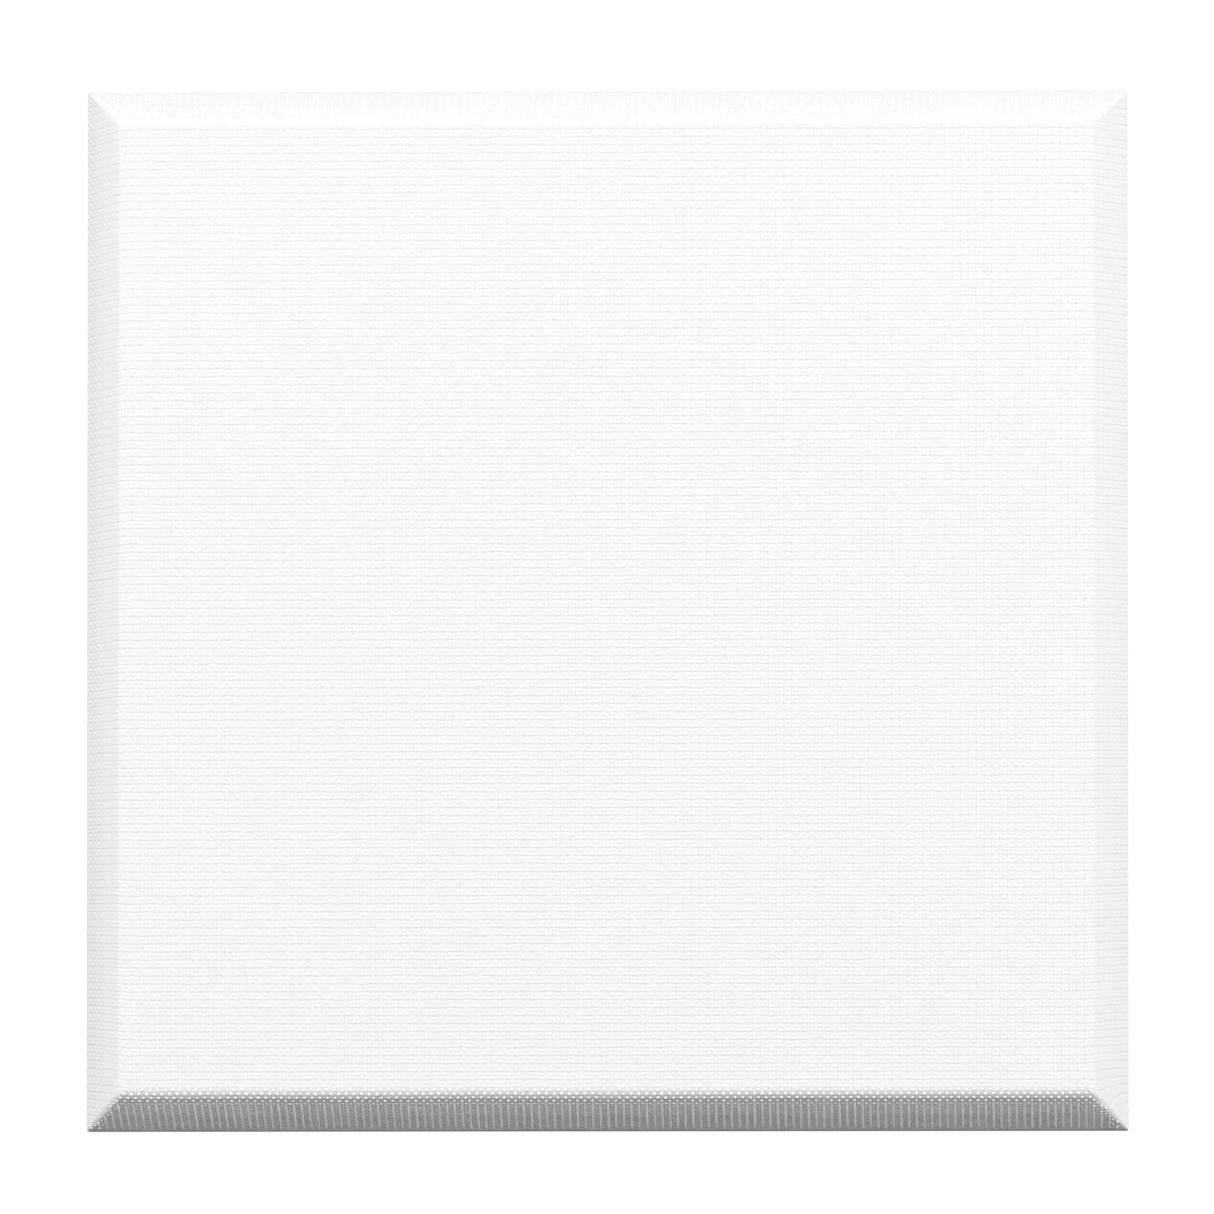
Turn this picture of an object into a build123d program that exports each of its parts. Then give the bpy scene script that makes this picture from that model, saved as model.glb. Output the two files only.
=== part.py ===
from build123d import *
import math
import os

# A primed cotton canvas on four keyable stretcher bars with a bevelled front edge.
# Millimetres. +Z is up, the painting face looks along -Y, and the origin is the middle
# of the box's bottom. Every bar, key and staple is drawn for the bottom edge first and
# then turned about the centre of the panel, so the four sides are the same parts.

# --- driving dimensions ---------------------------------------------------------------
panel_side = 304.8            # 12 in stock size, cloth included
bevel_width = 9.5             # how far the bevel comes in across the face
bevel_depth = 11.5            # how far it goes back from the face
profile_depth = 19.0          # 3/4 in bar with the cloth on both sides
cloth = 0.5                   # thickness of one layer of primed cloth
flap_width = 26.0             # cloth turned over on to the back

bar_width = 38.0              # 1 1/2 in wood
land_width = 3.0              # only this much of the ridge touches the cloth
relief_depth = 3.0            # how far the bar falls away behind the face
tenon_thickness = 3.5         # each of the two middle layers of a corner joint
back_cheek = 5.4              # thick enough to hold a whole staple leg

key_out = 0.8                 # how far keying out pushes each bar
key_slope = 1 / 5             # widening of a key over its length
key_length = 34.0
key_seated = 14.0             # length of key inside the slot before keying out
key_tip_width = 5.0

crown_length = 10.6           # staples: flat wire, 1.27 x 0.5
wire_width = 1.27
wire_thickness = 0.5
leg_length = 6.0                # 1/4 in
staple_row = 142.0            # from the panel's centre to a row of staples
staple_places = (-87.0, -29.0, 29.0, 87.0)
corner_staple_place = 133.0

# --- clearances -----------------------------------------------------------------------
slack = key_out + 0.1         # room that keying out takes up
face_gap = 0.1                # between wood and cloth, front and back
joint_gap = 0.05              # each side of a tenon, a key or a mitre
leg_gap = 0.05                # round a staple leg where it goes through the cloth
key_thickness = tenon_thickness - 0.2

# --- planes worked out from them -------------------------------------------------------
panel_half = panel_side / 2
depth = profile_depth + cloth + wire_thickness   # over a staple on a folded corner
face_y = -depth / 2
flap_y = face_y + profile_depth                  # outside of the cloth on the back
wood_front_y = face_y + cloth + face_gap
wood_back_y = flap_y - cloth - face_gap
finish_tenon_y = wood_back_y - back_cheek        # back of the layer next to the back cheek
start_tenon_y = finish_tenon_y - tenon_thickness
front_cheek_y = start_tenon_y - tenon_thickness

bevel_run = bevel_width / bevel_depth            # sideways per unit of depth
bevel_skin = cloth * math.hypot(bevel_width, bevel_depth) / bevel_depth
wood_outer = panel_half - cloth - slack
wood_inner = wood_outer - bar_width
wood_ridge = panel_half - bevel_width + (wood_front_y - face_y) * bevel_run - bevel_skin - slack
wood_bevel_y = wood_front_y + (wood_outer - wood_ridge) / bevel_run


# --- helpers --------------------------------------------------------------------------
def prism_along_x(outline, length):
    """A solid whose section, given as (z, y) points, is carried along X about x = 0."""
    wire = Polyline(*[(0, y, z) for z, y in outline], close=True)
    return extrude(Face(wire), amount=length / 2, dir=(1, 0, 0), both=True)


def prism_along_y(outline, y_from, y_to):
    """A plate whose outline, given as (x, z) points, fills the depth y_from to y_to."""
    wire = Polyline(*[(x, y_from, z) for x, z in outline], close=True)
    return extrude(Face(wire), amount=y_to - y_from, dir=(0, 1, 0))


def block(x_from, x_to, y_from, y_to, z_from, z_to):
    """A box between two corners."""
    size = (x_to - x_from, y_to - y_from, z_to - z_from)
    middle = ((x_from + x_to) / 2, (y_from + y_to) / 2, (z_from + z_to) / 2)
    return Pos(*middle) * Box(*size)


def turned(shape, quarter_turns):
    """The shape turned about the panel's centre: 0 bottom, 1 right, 2 top, 3 left."""
    return Rot(0, -90 * quarter_turns, 0) * shape


def bevelled_block(half, ridge, front_y, bevel_y, back_y):
    """A square block whose front edges are bevelled, mitred at the corners by crossing two prisms."""
    outline = [(-half, back_y), (half, back_y), (half, bevel_y)]
    outline += [(ridge, front_y), (-ridge, front_y), (-half, bevel_y)]
    across = prism_along_x(outline, 2 * half)
    return across & turned(across, 1)


# --- staples ----------------------------------------------------------------------------
def staple(x, seat_y):
    """One staple of the bottom row: a flat crown on the cloth at seat_y and two legs into the wood."""
    crown_half = crown_length / 2
    outer = block(-crown_half, crown_half, seat_y - leg_length, seat_y + wire_thickness, 0, wire_width)
    outer = fillet(outer.edges().filter_by(Axis.Z).group_by(Axis.Y)[-1], 0.45)
    inner_half = crown_half - wire_thickness
    inner = block(-inner_half, inner_half, seat_y - leg_length - 1, seat_y, -1, wire_width + 1)
    return Pos(x, 0, -staple_row - wire_width / 2) * (outer - inner)


def leg_slots(x, seat_y):
    """Slots in the cloth for one staple's legs, long enough for the bar to move outwards."""
    slots = []
    for side in (-1, 1):
        outer_end = x + side * crown_length / 2
        inner_end = outer_end - side * wire_thickness
        low, high = sorted((outer_end + side * leg_gap, inner_end - side * leg_gap))
        z_top = -staple_row + wire_width / 2 + leg_gap
        z_bottom = -staple_row - wire_width / 2 - key_out - leg_gap
        slots.append(block(low, high, flap_y - 2 * cloth, seat_y, z_bottom, z_top))
    return slots


def edge_staples():
    """The row of staples along the bottom flap."""
    return [staple(x, flap_y) for x in staple_places]


def corner_staple(side):
    """The staple through the folded corner at the left (-1) or right (1) end of the bottom bar."""
    return staple(side * corner_staple_place, flap_y + cloth)


# --- canvas -----------------------------------------------------------------------------
def corner_tuck(side):
    """The doubled cloth at one end of the bottom flap, folded back along the mitre."""
    inner = panel_half - flap_width
    outline = [(panel_half, -panel_half), (inner, -panel_half), (inner, -inner)]
    return prism_along_y([(side * x, z) for x, z in outline], flap_y, flap_y + cloth)


def canvas():
    """One cloth: face, bevels, sides, back flaps and folded corners, with slots for the staples."""
    bevel_y = face_y + bevel_depth
    outside = bevelled_block(panel_half, panel_half - bevel_width, face_y, bevel_y, flap_y)
    inside_face = face_y + cloth
    inside_half = panel_half - cloth
    inside_ridge = panel_half - bevel_width + cloth * bevel_run - bevel_skin
    inside_bevel = inside_face + (inside_half - inside_ridge) / bevel_run
    inside = bevelled_block(inside_half, inside_ridge, inside_face, inside_bevel, flap_y - cloth)
    opening_half = panel_half - flap_width
    opening = block(
        -opening_half, opening_half, flap_y - 2 * cloth, flap_y + cloth, -opening_half, opening_half
    )
    sheet = outside - inside - opening
    for quarter in (0, 2):
        for side in (-1, 1):
            sheet += turned(corner_tuck(side), quarter)
    for quarter in range(4):
        slots = [slot for x in staple_places for slot in leg_slots(x, flap_y)]
        if quarter in (0, 2):
            for side in (-1, 1):
                slots += leg_slots(side * corner_staple_place, flap_y + cloth)
        sheet -= [turned(slot, quarter) for slot in slots]
    return sheet


# --- stretcher bars -----------------------------------------------------------------------
def bar_blank():
    """The moulded section of a bottom bar, run past both corners and trimmed to the frame's outside."""
    relief_start = wood_ridge - land_width
    outline = [(-wood_outer, wood_back_y), (-wood_outer, wood_bevel_y), (-wood_ridge, wood_front_y)]
    outline += [(-relief_start, wood_front_y), (-wood_inner, wood_front_y + relief_depth)]
    outline += [(-wood_inner, wood_back_y)]
    blank = prism_along_x(outline, 2 * wood_outer)
    arrises = blank.edges().filter_by(Axis.X).filter_by(lambda edge: edge.center().Z > -wood_inner - 0.1)
    blank = fillet(arrises, 0.8)
    envelope = bevelled_block(wood_outer, wood_ridge, wood_front_y, wood_bevel_y, wood_back_y)
    return blank & envelope


def slot_wall(z):
    """How far from the panel's centre the sloped end of a key slot lies, at height z in a bottom bar."""
    depth_in = -wood_inner - z
    width = key_tip_width + (key_seated - depth_in) * key_slope
    return wood_inner - width - 2 * joint_gap


def corner_waste(side):
    """What is cut from one end of a bottom bar: two mitred cheeks and the slot for the next bar's tenon.

    The finish end (side 1) keeps its tenon in the layer by the back cheek, and the start
    end (side -1) keeps it in the layer by the front cheek.
    """
    near, far = wood_inner - 5, wood_outer + 5
    top, bottom = 5 - wood_inner, -far
    slot_front = front_cheek_y if side > 0 else start_tenon_y
    mitre = [(near - joint_gap, joint_gap - near), (far - joint_gap, joint_gap - far), (far, joint_gap - near)]
    slot = [(slot_wall(bottom), bottom), (far, bottom), (far, top), (slot_wall(top), top)]
    mitre = [(side * x, z) for x, z in mitre]
    slot = [(side * x, z) for x, z in slot]
    return [
        prism_along_y(mitre, wood_front_y - 5, front_cheek_y + joint_gap),
        prism_along_y(mitre, finish_tenon_y - joint_gap, wood_back_y + 5),
        prism_along_y(slot, slot_front - joint_gap, slot_front + tenon_thickness + joint_gap),
    ]


def bar(with_corner_staples):
    """A bottom bar with both corner joints cut and the staple legs' places in it."""
    body = bar_blank()
    for side in (-1, 1):
        body -= corner_waste(side)
    legs = edge_staples()
    if with_corner_staples:
        legs += [corner_staple(-1), corner_staple(1)]
    return body - legs


# --- keys -----------------------------------------------------------------------------------
def key(side):
    """A corner key of the bottom bar, straight along the bar and sloped towards the next bar's slot."""
    tip = side * (wood_inner + key_seated)
    head = tip - side * key_length
    straight = -wood_inner + joint_gap
    head_width = key_tip_width + key_length * key_slope
    outline = [(tip, straight), (tip, straight + key_tip_width), (head, straight + head_width), (head, straight)]
    layer = start_tenon_y if side > 0 else front_cheek_y
    middle = layer + tenon_thickness / 2
    wedge = prism_along_y(outline, middle - key_thickness / 2, middle + key_thickness / 2)
    return fillet(wedge.edges().filter_by(Axis.Y), 0.6)


# --- write the parts ----------------------------------------------------------------------
def place(shape):
    """From the panel's centre to the frame whose origin is at the bottom edge."""
    return Pos(0, 0, panel_half) * shape


def write(name, shapes):
    """One STEP file for a node, from one solid or a group of them."""
    solids = [solid for shape in shapes for solid in place(shape).solids()]
    node = solids[0] if len(solids) == 1 else Compound(children=solids)
    export_step(node, f"parts/{name}.step")


os.makedirs("parts", exist_ok=True)
write("canvas", [canvas()])
for quarter, name in enumerate(("bottom", "right", "top", "left")):
    has_corners = quarter in (0, 2)
    write(f"bar_{name}", [turned(bar(has_corners), quarter)])
    write(f"key_{name}_start", [turned(key(-1), quarter)])
    write(f"key_{name}_finish", [turned(key(1), quarter)])
    write(f"staples_{name}", [turned(one, quarter) for one in edge_staples()])
    if has_corners:
        write(f"corner_staple_{name}_start", [turned(corner_staple(-1), quarter)])
        write(f"corner_staple_{name}_finish", [turned(corner_staple(1), quarter)])
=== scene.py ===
# %% [markdown]
# # A stretched artist's canvas
#
# The object is a square of cotton cloth, coated with white primer on its outer side and
# pulled over four pine bars. The bars are bevelled at the front, so that only a narrow
# ridge touches the cloth. Behind, the cloth is turned over and stapled, and two thin
# wedges in each corner can be tapped in to tighten it.
#
# The imported CAD model fixes every size. It is loaded first, and its box is kept.

import math
from functools import partial

import bpy
import numpy as np
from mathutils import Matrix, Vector


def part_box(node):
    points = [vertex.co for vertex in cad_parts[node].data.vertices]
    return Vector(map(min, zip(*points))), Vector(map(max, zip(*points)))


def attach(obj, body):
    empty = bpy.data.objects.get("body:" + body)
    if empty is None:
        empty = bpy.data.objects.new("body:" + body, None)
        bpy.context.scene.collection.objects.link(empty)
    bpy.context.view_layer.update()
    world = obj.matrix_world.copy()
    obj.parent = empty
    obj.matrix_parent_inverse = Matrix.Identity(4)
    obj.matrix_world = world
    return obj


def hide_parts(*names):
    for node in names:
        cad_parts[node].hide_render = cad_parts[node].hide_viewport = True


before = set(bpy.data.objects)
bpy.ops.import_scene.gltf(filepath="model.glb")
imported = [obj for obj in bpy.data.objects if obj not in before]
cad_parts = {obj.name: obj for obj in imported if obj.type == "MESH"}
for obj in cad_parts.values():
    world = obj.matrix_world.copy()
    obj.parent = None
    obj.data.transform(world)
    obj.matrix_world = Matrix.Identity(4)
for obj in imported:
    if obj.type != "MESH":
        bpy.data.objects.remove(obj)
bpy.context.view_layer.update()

# %% [markdown]
# ## Sizes of the panel
#
# Everything is in metres. X runs across the panel, Z runs up it, and the painting side
# looks along -Y. The cloth's CAD box gives the panel's side and the plane of the painting
# face, and the bevel and the turned-over edge are the CAD's own sizes. Working from
# the box keeps the cloth and the wood in step if the CAD changes. The cloth drawn here is
# half as thick as the CAD's, which leaves the bars room at the ridge when they are keyed out.

# %% Sizes of the panel
cloth_low, cloth_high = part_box("canvas")
panel_half = (cloth_high.x - cloth_low.x) / 2
middle_height = (cloth_high.z + cloth_low.z) / 2
face_y = cloth_low.y

cloth_thickness = 0.00025
doubled_cloth = 0.0005
bevel_run = 0.0095
bevel_depth = 0.0115
flap_y = face_y + 0.019
flap_width = 0.026
print("half of the side", panel_half, "face at", face_y, "back of the cloth at", flap_y)

# %% [markdown]
# ## The section of the cloth
#
# Seen in section, the cloth runs flat across the face, bends over the ridge, goes down the
# bevel and along the side, and turns over on to the back. It could be a row of
# straight lines, but cloth never has a sharp bend. So each corner of the path is
# replaced by an arc that touches both of its lines, and the arc's radius says how tightly
# the cloth is pulled there.

# %% A path with rounded corners
def rounded_path(corners, radii, arc_steps, line_steps):
    """Points along a broken line whose corners are arcs.

    The arc at a corner touches both lines at radius * tan(half of the turn) from it. Its
    points are the arc's centre plus the radius times the direction, turned in equal
    angles. The straight parts between the arcs are cut into equal steps.
    """
    corners = np.array(corners, float)
    pieces = []
    here = corners[0]
    for number in range(1, len(corners) - 1):
        before = corners[number] - corners[number - 1]
        after = corners[number + 1] - corners[number]
        before = before / np.linalg.norm(before)
        after = after / np.linalg.norm(after)
        turn = math.atan2(before[0] * after[1] - before[1] * after[0], before @ after)
        radius = radii[number - 1]
        reach = radius * math.tan(abs(turn) / 2)
        start = corners[number] - before * reach
        side = math.copysign(1.0, turn)
        to_centre = side * np.array([-before[1], before[0]])
        centre = start + to_centre * radius
        share = np.linspace(0, 1, line_steps[number - 1], endpoint=False)[:, None]
        pieces.append(here + (start - here) * share)
        angle = np.linspace(0, turn, arc_steps, endpoint=False)[:, None]
        spoke = -to_centre * radius
        turned = np.hstack([spoke[0] * np.cos(angle) - spoke[1] * np.sin(angle),
                            spoke[0] * np.sin(angle) + spoke[1] * np.cos(angle)])
        pieces.append(centre + turned)
        here = corners[number] + after * reach
    share = np.linspace(0, 1, line_steps[-1] + 1)[:, None]
    pieces.append(here + (corners[-1] - here) * share)
    return np.vstack(pieces)


# %% The section of the cloth, as distance from the middle and depth
ridge_half = panel_half - bevel_run
face_half = ridge_half - 0.0025
bulge = 0.0002
ridge_radius = 0.0032
bevel_radius = 0.02
side_radius = 0.0014
fold_radius = 0.0009
section_corners = [
    (face_half, face_y),
    (ridge_half, face_y),
    (panel_half - 0.5 * bevel_run + bulge, face_y + 0.5 * bevel_depth - bulge),
    (panel_half, face_y + bevel_depth),
    (panel_half, flap_y),
    (panel_half - flap_width, flap_y),
]
section_radii = [ridge_radius, bevel_radius, side_radius, fold_radius]
section = rounded_path(section_corners, section_radii, 8, [2, 4, 4, 5, 14])
steps = np.linalg.norm(np.diff(section, axis=0), axis=1)
along_section = np.concatenate([[0.0], np.cumsum(steps)])
tangent = np.gradient(section, axis=0)
tangent = tangent / np.linalg.norm(tangent, axis=1)[:, None]
print("points in the section", len(section), "cloth beyond the face", along_section[-1])

# %% [markdown]
# ## The cloth
#
# The cloth could be four strips and a face, but the seams would show at the mitres. It is one
# closed skin instead. A square grid covers the face, and from its rim loops run
# round the panel, one for each point of the section, down the outside and back up the
# inside, one thickness of cloth deeper. Each loop is a square with rounded corners.
#
# Cloth is never perfectly even. A few long, seeded waves move it by less than a tenth of a
# millimetre, and it rises a little between the staples on the back.

# %% Loops round the panel
straight_cells = 84
arc_cells = 5
side_cells = straight_cells + 2 * arc_cells
# The four sides in order, bottom, right, top and left: the direction along each and out of it.
along_x = np.array([1.0, 0.0, -1.0, 0.0])
along_z = np.array([0.0, 1.0, 0.0, -1.0])
out_x = np.array([0.0, 1.0, 0.0, -1.0])
out_z = np.array([-1.0, 0.0, 1.0, 0.0])


def stacked(*parts):
    """Arrays put together as coordinates on a new last axis, each spread to the common shape."""
    return np.stack(np.broadcast_arrays(*parts), axis=-1)


def side_profile(half, corner):
    """One side of a square loop, from the middle of one rounded corner to the middle of the next.

    On the straight part the distance along the side grows in equal steps. On an arc it is
    straight + corner * sin(angle) along and straight + corner * cos(angle) out. The third
    column is the length of cloth along the side, straight + corner * angle.
    """
    straight = half - corner
    angle = np.linspace(0, math.pi / 4, arc_cells + 1)[1:]
    line = np.linspace(-straight, straight, straight_cells + 1)
    arc_along = straight + corner * np.sin(angle)
    arc_out = straight + corner * np.cos(angle)
    arc_length = straight + corner * angle
    along = np.concatenate([-arc_along[::-1], line, arc_along])
    outward = np.concatenate([arc_out[::-1], np.full(len(line), half), arc_out])
    length = np.concatenate([-arc_length[::-1], line, arc_length])
    return along, outward, length


def face_grid(half, corner):
    """X and Z of a square grid with rounded corners, one row for each column of the grid.

    Inside, both follow the steps of side_profile. In a corner block the point lies at the
    larger of its two shares of the radius, and its angle is 45 degrees times the smaller
    share over the larger.
    """
    straight = half - corner
    line = np.linspace(-straight, straight, straight_cells + 1)
    share = np.arange(1, arc_cells + 1) / arc_cells
    corner_line = np.full(arc_cells, straight)
    steps_along = np.concatenate([-corner_line, line, corner_line])
    beyond = np.concatenate([-share[::-1], np.zeros(len(line)), share])
    x, z = np.meshgrid(steps_along, steps_along, indexing="ij")
    a, b = np.meshgrid(beyond, beyond, indexing="ij")
    far = np.maximum(abs(a), abs(b))
    near = np.minimum(abs(a), abs(b))
    angle = math.pi / 4 * near / np.where(far > 0, far, 1)
    long_part = corner * far * np.cos(angle)
    short_part = corner * far * np.sin(angle)
    x = x + np.sign(a) * np.where(abs(a) >= abs(b), long_part, short_part)
    z = z + np.sign(b) * np.where(abs(b) > abs(a), long_part, short_part)
    return x, z


# %% Small unevenness, the same on every run
def gentle_waves(x, z, shortest, longest, seed):
    """Twelve sine waves in random directions, added and scaled to about -1 to 1.

    Their wavelengths lie between shortest and longest.
    """
    chance = np.random.default_rng(seed)
    total = np.zeros(np.broadcast(x, z).shape)
    for _ in range(12):
        direction = chance.uniform(0, 2 * math.pi)
        wavelength = chance.uniform(shortest, longest)
        phase = chance.uniform(0, 2 * math.pi)
        distance = x * math.cos(direction) + z * math.sin(direction)
        total = total + np.sin(2 * math.pi * distance / wavelength + phase)
    return total / 5


# %% [markdown]
# ## How the threads run
#
# The weave is drawn later from a flat map of the cloth in metres, like a tailor's pattern. On
# the face the map is simply X and Z. On a bevel it goes on by the length of cloth, and it
# leans a little, because the cloth was pulled askew when it was stapled: the threads slope
# down towards the outside on both upright edges, most at the top.

# %% Lean of the threads on each side
def lean_of_threads(side, place):
    """How far the threads move along the side for each metre that the bevel goes out.

    place runs from -1 to 1 in the side's own direction. The lean is a low polynomial of it,
    and at the foot of the right side it rises so that the threads run down the mitre.
    """
    if side == 0:
        return -0.16 * np.clip(-place, 0, 1) ** 1.5
    if side == 1:
        near_foot = np.clip((-place - 0.93) / 0.07, 0, 1)
        return -0.03 + 0.1 * place + 0.65 * near_foot**2
    if side == 2:
        return 0.03 * place
    return -(0.06 - 0.1775 * place - 0.0725 * place**2)


# %% [markdown]
# ## Where the weave changes
#
# The threads along the top and bottom bevels are pulled straight and stand as ribs. Where
# the cloth bends over a ridge and down a side bevel, the gaps between its threads open, and
# the material paints shade into those gaps. Both changes are kept with the skin, as a number
# from 0 to 1 at each corner of each face.

# %% Values at the corners of the faces
def between(value, nought, one):
    """An S-curve that is 0 at nought and 1 at one."""
    share = np.clip((value - nought) / (one - nought), 0, 1)
    return share * share * (3 - 2 * share)


def loop_corners(values):
    """The values at the four corners of each face between one loop and the next."""
    return np.stack([values[1:, :, :-1], values[1:, :, 1:], values[:-1, :, 1:], values[:-1, :, :-1]], axis=3)


def face_corners(by_loop, bottom=0, right=0, top=0, left=0):
    """A value for each loop, times a share for each side, at every face corner of the skin."""
    shares = np.array([bottom, right, top, left])
    value = by_loop[:, None, None] * shares[None, :, None] * np.ones(side_cells + 1)
    grid = np.zeros((side_cells**2, 4))
    return np.vstack([grid, loop_corners(value).reshape(-1, 4), grid])


def pulled_straight(lengths):
    """How far the threads stand as ribs, by the length of cloth beyond the face."""
    before_side = between(lengths, 0.026, 0.022)
    ribs = face_corners(between(lengths, 0.0042, 0.0056) * before_side, bottom=1)
    return ribs + face_corners(between(lengths, 0.0002, 0.0030) * before_side, top=1)


def opened_gaps(lengths):
    """How far the gaps are open, which sets the painted shade in them: over the bottom and top ridges, and
    down the side bevels.
    """
    bottom_ridge = between(lengths, -0.0006, 0.0016) * between(lengths, 0.0054, 0.0042)
    top_ridge = between(lengths, 0.0, 0.0015) * between(lengths, 0.0075, 0.0045)
    outwards = (0.15 + 0.85 * between(lengths, 0.004, 0.018)) * between(lengths, 0.001, 0.004)
    bevels = outwards * between(lengths, 0.026, 0.022)
    gaps = face_corners(bottom_ridge, bottom=1)
    gaps += face_corners(bevels, right=0.18, left=0.5)
    return gaps + face_corners(top_ridge, top=0.16)


# %% Build the cloth
def cloth_mesh():
    """The whole cloth as one closed skin.

    Loop number k follows point k of the section on the outside. The inside loops use the
    same points moved in by the cloth's thickness along the section's normal.
    """
    corner_lengths = [0, 0.008, 0.017, 0.027, 0.05]
    corner_radii = [0.0015, 0.0018, 0.0006, 0.0005, 0.0004]
    outer_corner = np.interp(along_section, corner_lengths, corner_radii)
    inner_half = section[:, 0] - cloth_thickness * tangent[:, 1]
    inner_y = section[:, 1] + cloth_thickness * tangent[:, 0]
    inner_corner = np.maximum(outer_corner - cloth_thickness * tangent[:, 1], 0.0003)
    halves = np.concatenate([section[:, 0], inner_half[::-1]])
    depths = np.concatenate([section[:, 1], inner_y[::-1]])
    radii = np.concatenate([outer_corner, inner_corner[::-1]])
    lengths = np.concatenate([along_section, along_section[::-1]])
    end_of_bevel = 0.018
    runs = np.clip(halves - face_half, 0, None)
    runs[lengths > end_of_bevel] = panel_half - face_half
    loops = len(halves)

    n = side_cells
    profiles = [side_profile(half, radius) for half, radius in zip(halves, radii)]
    along, outward, length = np.stack(profiles, axis=1)[:, :, None]
    place = along[:, 0] / halves[:, None]
    lean = np.stack([lean_of_threads(side, place) for side in range(4)], axis=1)
    across = length + lean * runs[:, None, None]
    out = (face_half + lengths)[:, None, None]
    ax, az, ox, oz = (way[:, None] for way in (along_x, along_z, out_x, out_z))
    flat_map = stacked(across * ax + out * ox, across * az + out * oz)
    points = stacked(along * ax + outward * ox, depths[:, None, None], along * az + outward * oz)

    front_x, front_z = face_grid(halves[0], radii[0])
    back_x, back_z = face_grid(halves[-1], radii[-1])
    front = stacked(front_x, depths[0], front_z).reshape(-1, 3)
    back = stacked(back_x, depths[-1], back_z).reshape(-1, 3)
    rings = points[1:-1, :, :n].reshape(-1, 3)
    vertices = np.vstack([front, rings, back])

    grid = np.arange((n + 1) ** 2).reshape(n + 1, n + 1)
    rim = [grid[:, 0], grid[n, :], grid[::-1, n], grid[0, ::-1]]
    back_start = len(front) + len(rings)
    ids = np.zeros((loops, 4, n + 1), int)
    ids[0] = np.array(rim)
    ids[-1] = np.array(rim) + back_start
    ring_ids = len(front) + np.arange(len(rings)).reshape(loops - 2, 4 * n)
    wrapped = np.concatenate([ring_ids, ring_ids[:, :1]], axis=1)
    for side in range(4):
        ids[1:-1, side] = wrapped[:, side * n:side * n + n + 1]

    front_quads = np.stack([grid[:-1, :-1], grid[1:, :-1], grid[1:, 1:], grid[:-1, 1:]], axis=2)
    front_quads = front_quads.reshape(-1, 4)
    back_quads = front_quads[:, ::-1] + back_start
    quads = np.vstack([front_quads, loop_corners(ids).reshape(-1, 4), back_quads])
    front_map = vertices[front_quads][:, :, [0, 2]]
    back_map = vertices[back_quads][:, :, [0, 2]]
    maps = np.concatenate([front_map, loop_corners(flat_map).reshape(-1, 4, 2), back_map])
    raw = np.zeros(len(quads), int)
    raw[len(front_quads) + 4 * n * (len(section) - 1):] = 1
    return vertices, quads, maps, raw, lengths


vertices, quads, maps, raw, loop_lengths = cloth_mesh()
print("cloth", len(vertices), "points", len(quads), "faces")

# %% [markdown]
# ## Unevenness and the staples' pull
#
# The skin above is as exact as a drawing. Here it gets what hands and tools leave: a face
# that isn't a perfect plane, a ridge that wanders by a few hundredths of a millimetre, and
# turned-over edges that rise between the staples and dip under them. The same shift is
# used for both sides of the cloth, so it keeps its thickness.

# %% Shift the points a little
staple_places = np.array([-0.087, -0.029, 0.029, 0.087])
staple_row = 0.142
corner_staple_place = 0.133
face_waves = 0.00003
edge_waves = 0.00004
flap_rise = 0.00022
fold_rise = 0.00018


def uneven(points):
    """Moves points by long waves, and raises the turned-over cloth away from each staple.

    The rise is flap_rise, times a bell across the flap, times 1 - exp(-(distance / 7 mm) squared)
    for the distance to the nearest staple.
    """
    x, y, z = points.T
    on_back = np.clip((y - (flap_y - 0.002)) / 0.0012, 0, 1)
    on_face = np.clip((face_y + 0.004 - y) / 0.004, 0, 1)
    y = y + face_waves * gentle_waves(x, z, 0.05, 0.16, 3) * on_face
    half = np.maximum(abs(x), abs(z))
    wander = edge_waves * gentle_waves(x, z, 0.02, 0.09, 5) * np.clip((half - 0.13) / 0.01, 0, 1)
    wander = wander * np.clip((flap_y - 0.009 - y) / 0.004, 0, 1)
    x = x + wander * np.sign(x) * (abs(x) >= abs(z))
    z = z + wander * np.sign(z) * (abs(z) > abs(x))
    along = np.where(abs(x) >= abs(z), z, x)
    nearest = np.min(np.abs(along[:, None] - staple_places[None, :]), axis=1)
    distance = np.hypot(nearest, (half - staple_row) * 1.5)
    across = np.clip((panel_half - half) / flap_width, 0, 1)
    bell = np.sin(math.pi * across**0.7)
    rise = flap_rise * bell * (1 - np.exp(-((distance / 0.007) ** 2)))
    y = y + rise * on_back
    return stacked(x, y, z)


vertices = uneven(vertices)
print("cloth from", vertices.min(0), "to", vertices.max(0))

# %% [markdown]
# ## Putting a shape into Blender
#
# Each new piece is a list of points and a list of faces. Blender stores the flat map once
# for each corner of each face, so two faces that share a point can still have different
# places on the cloth. That is needed at the mitres, where the threads change direction.

# %% A piece from arrays
def add_object(name, data):
    """An object in the scene, at the origin and unturned."""
    thing = bpy.data.objects.new(name, data)
    bpy.context.scene.collection.objects.link(thing)
    return thing


def make_piece(name, points, faces, flat_map=None, sharp_from=50):
    """A smooth mesh object in the frame's place, with a flat map for each face corner if given."""
    mesh = bpy.data.meshes.new(name)
    placed = np.array(points, float) + np.array([0, 0, middle_height])
    mesh.from_pydata(placed.tolist(), [], [list(map(int, face)) for face in faces])
    mesh.polygons.foreach_set("use_smooth", np.ones(len(mesh.polygons), bool))
    if flat_map is not None:
        layer = mesh.uv_layers.new(name="Cloth")
        layer.data.foreach_set("uv", np.asarray(flat_map, np.float32).ravel())
    mesh.set_sharp_from_angle(angle=math.radians(sharp_from))
    mesh.update()
    print(name, len(mesh.vertices), "points", len(mesh.polygons), "faces")
    return add_object(name, mesh)


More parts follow.
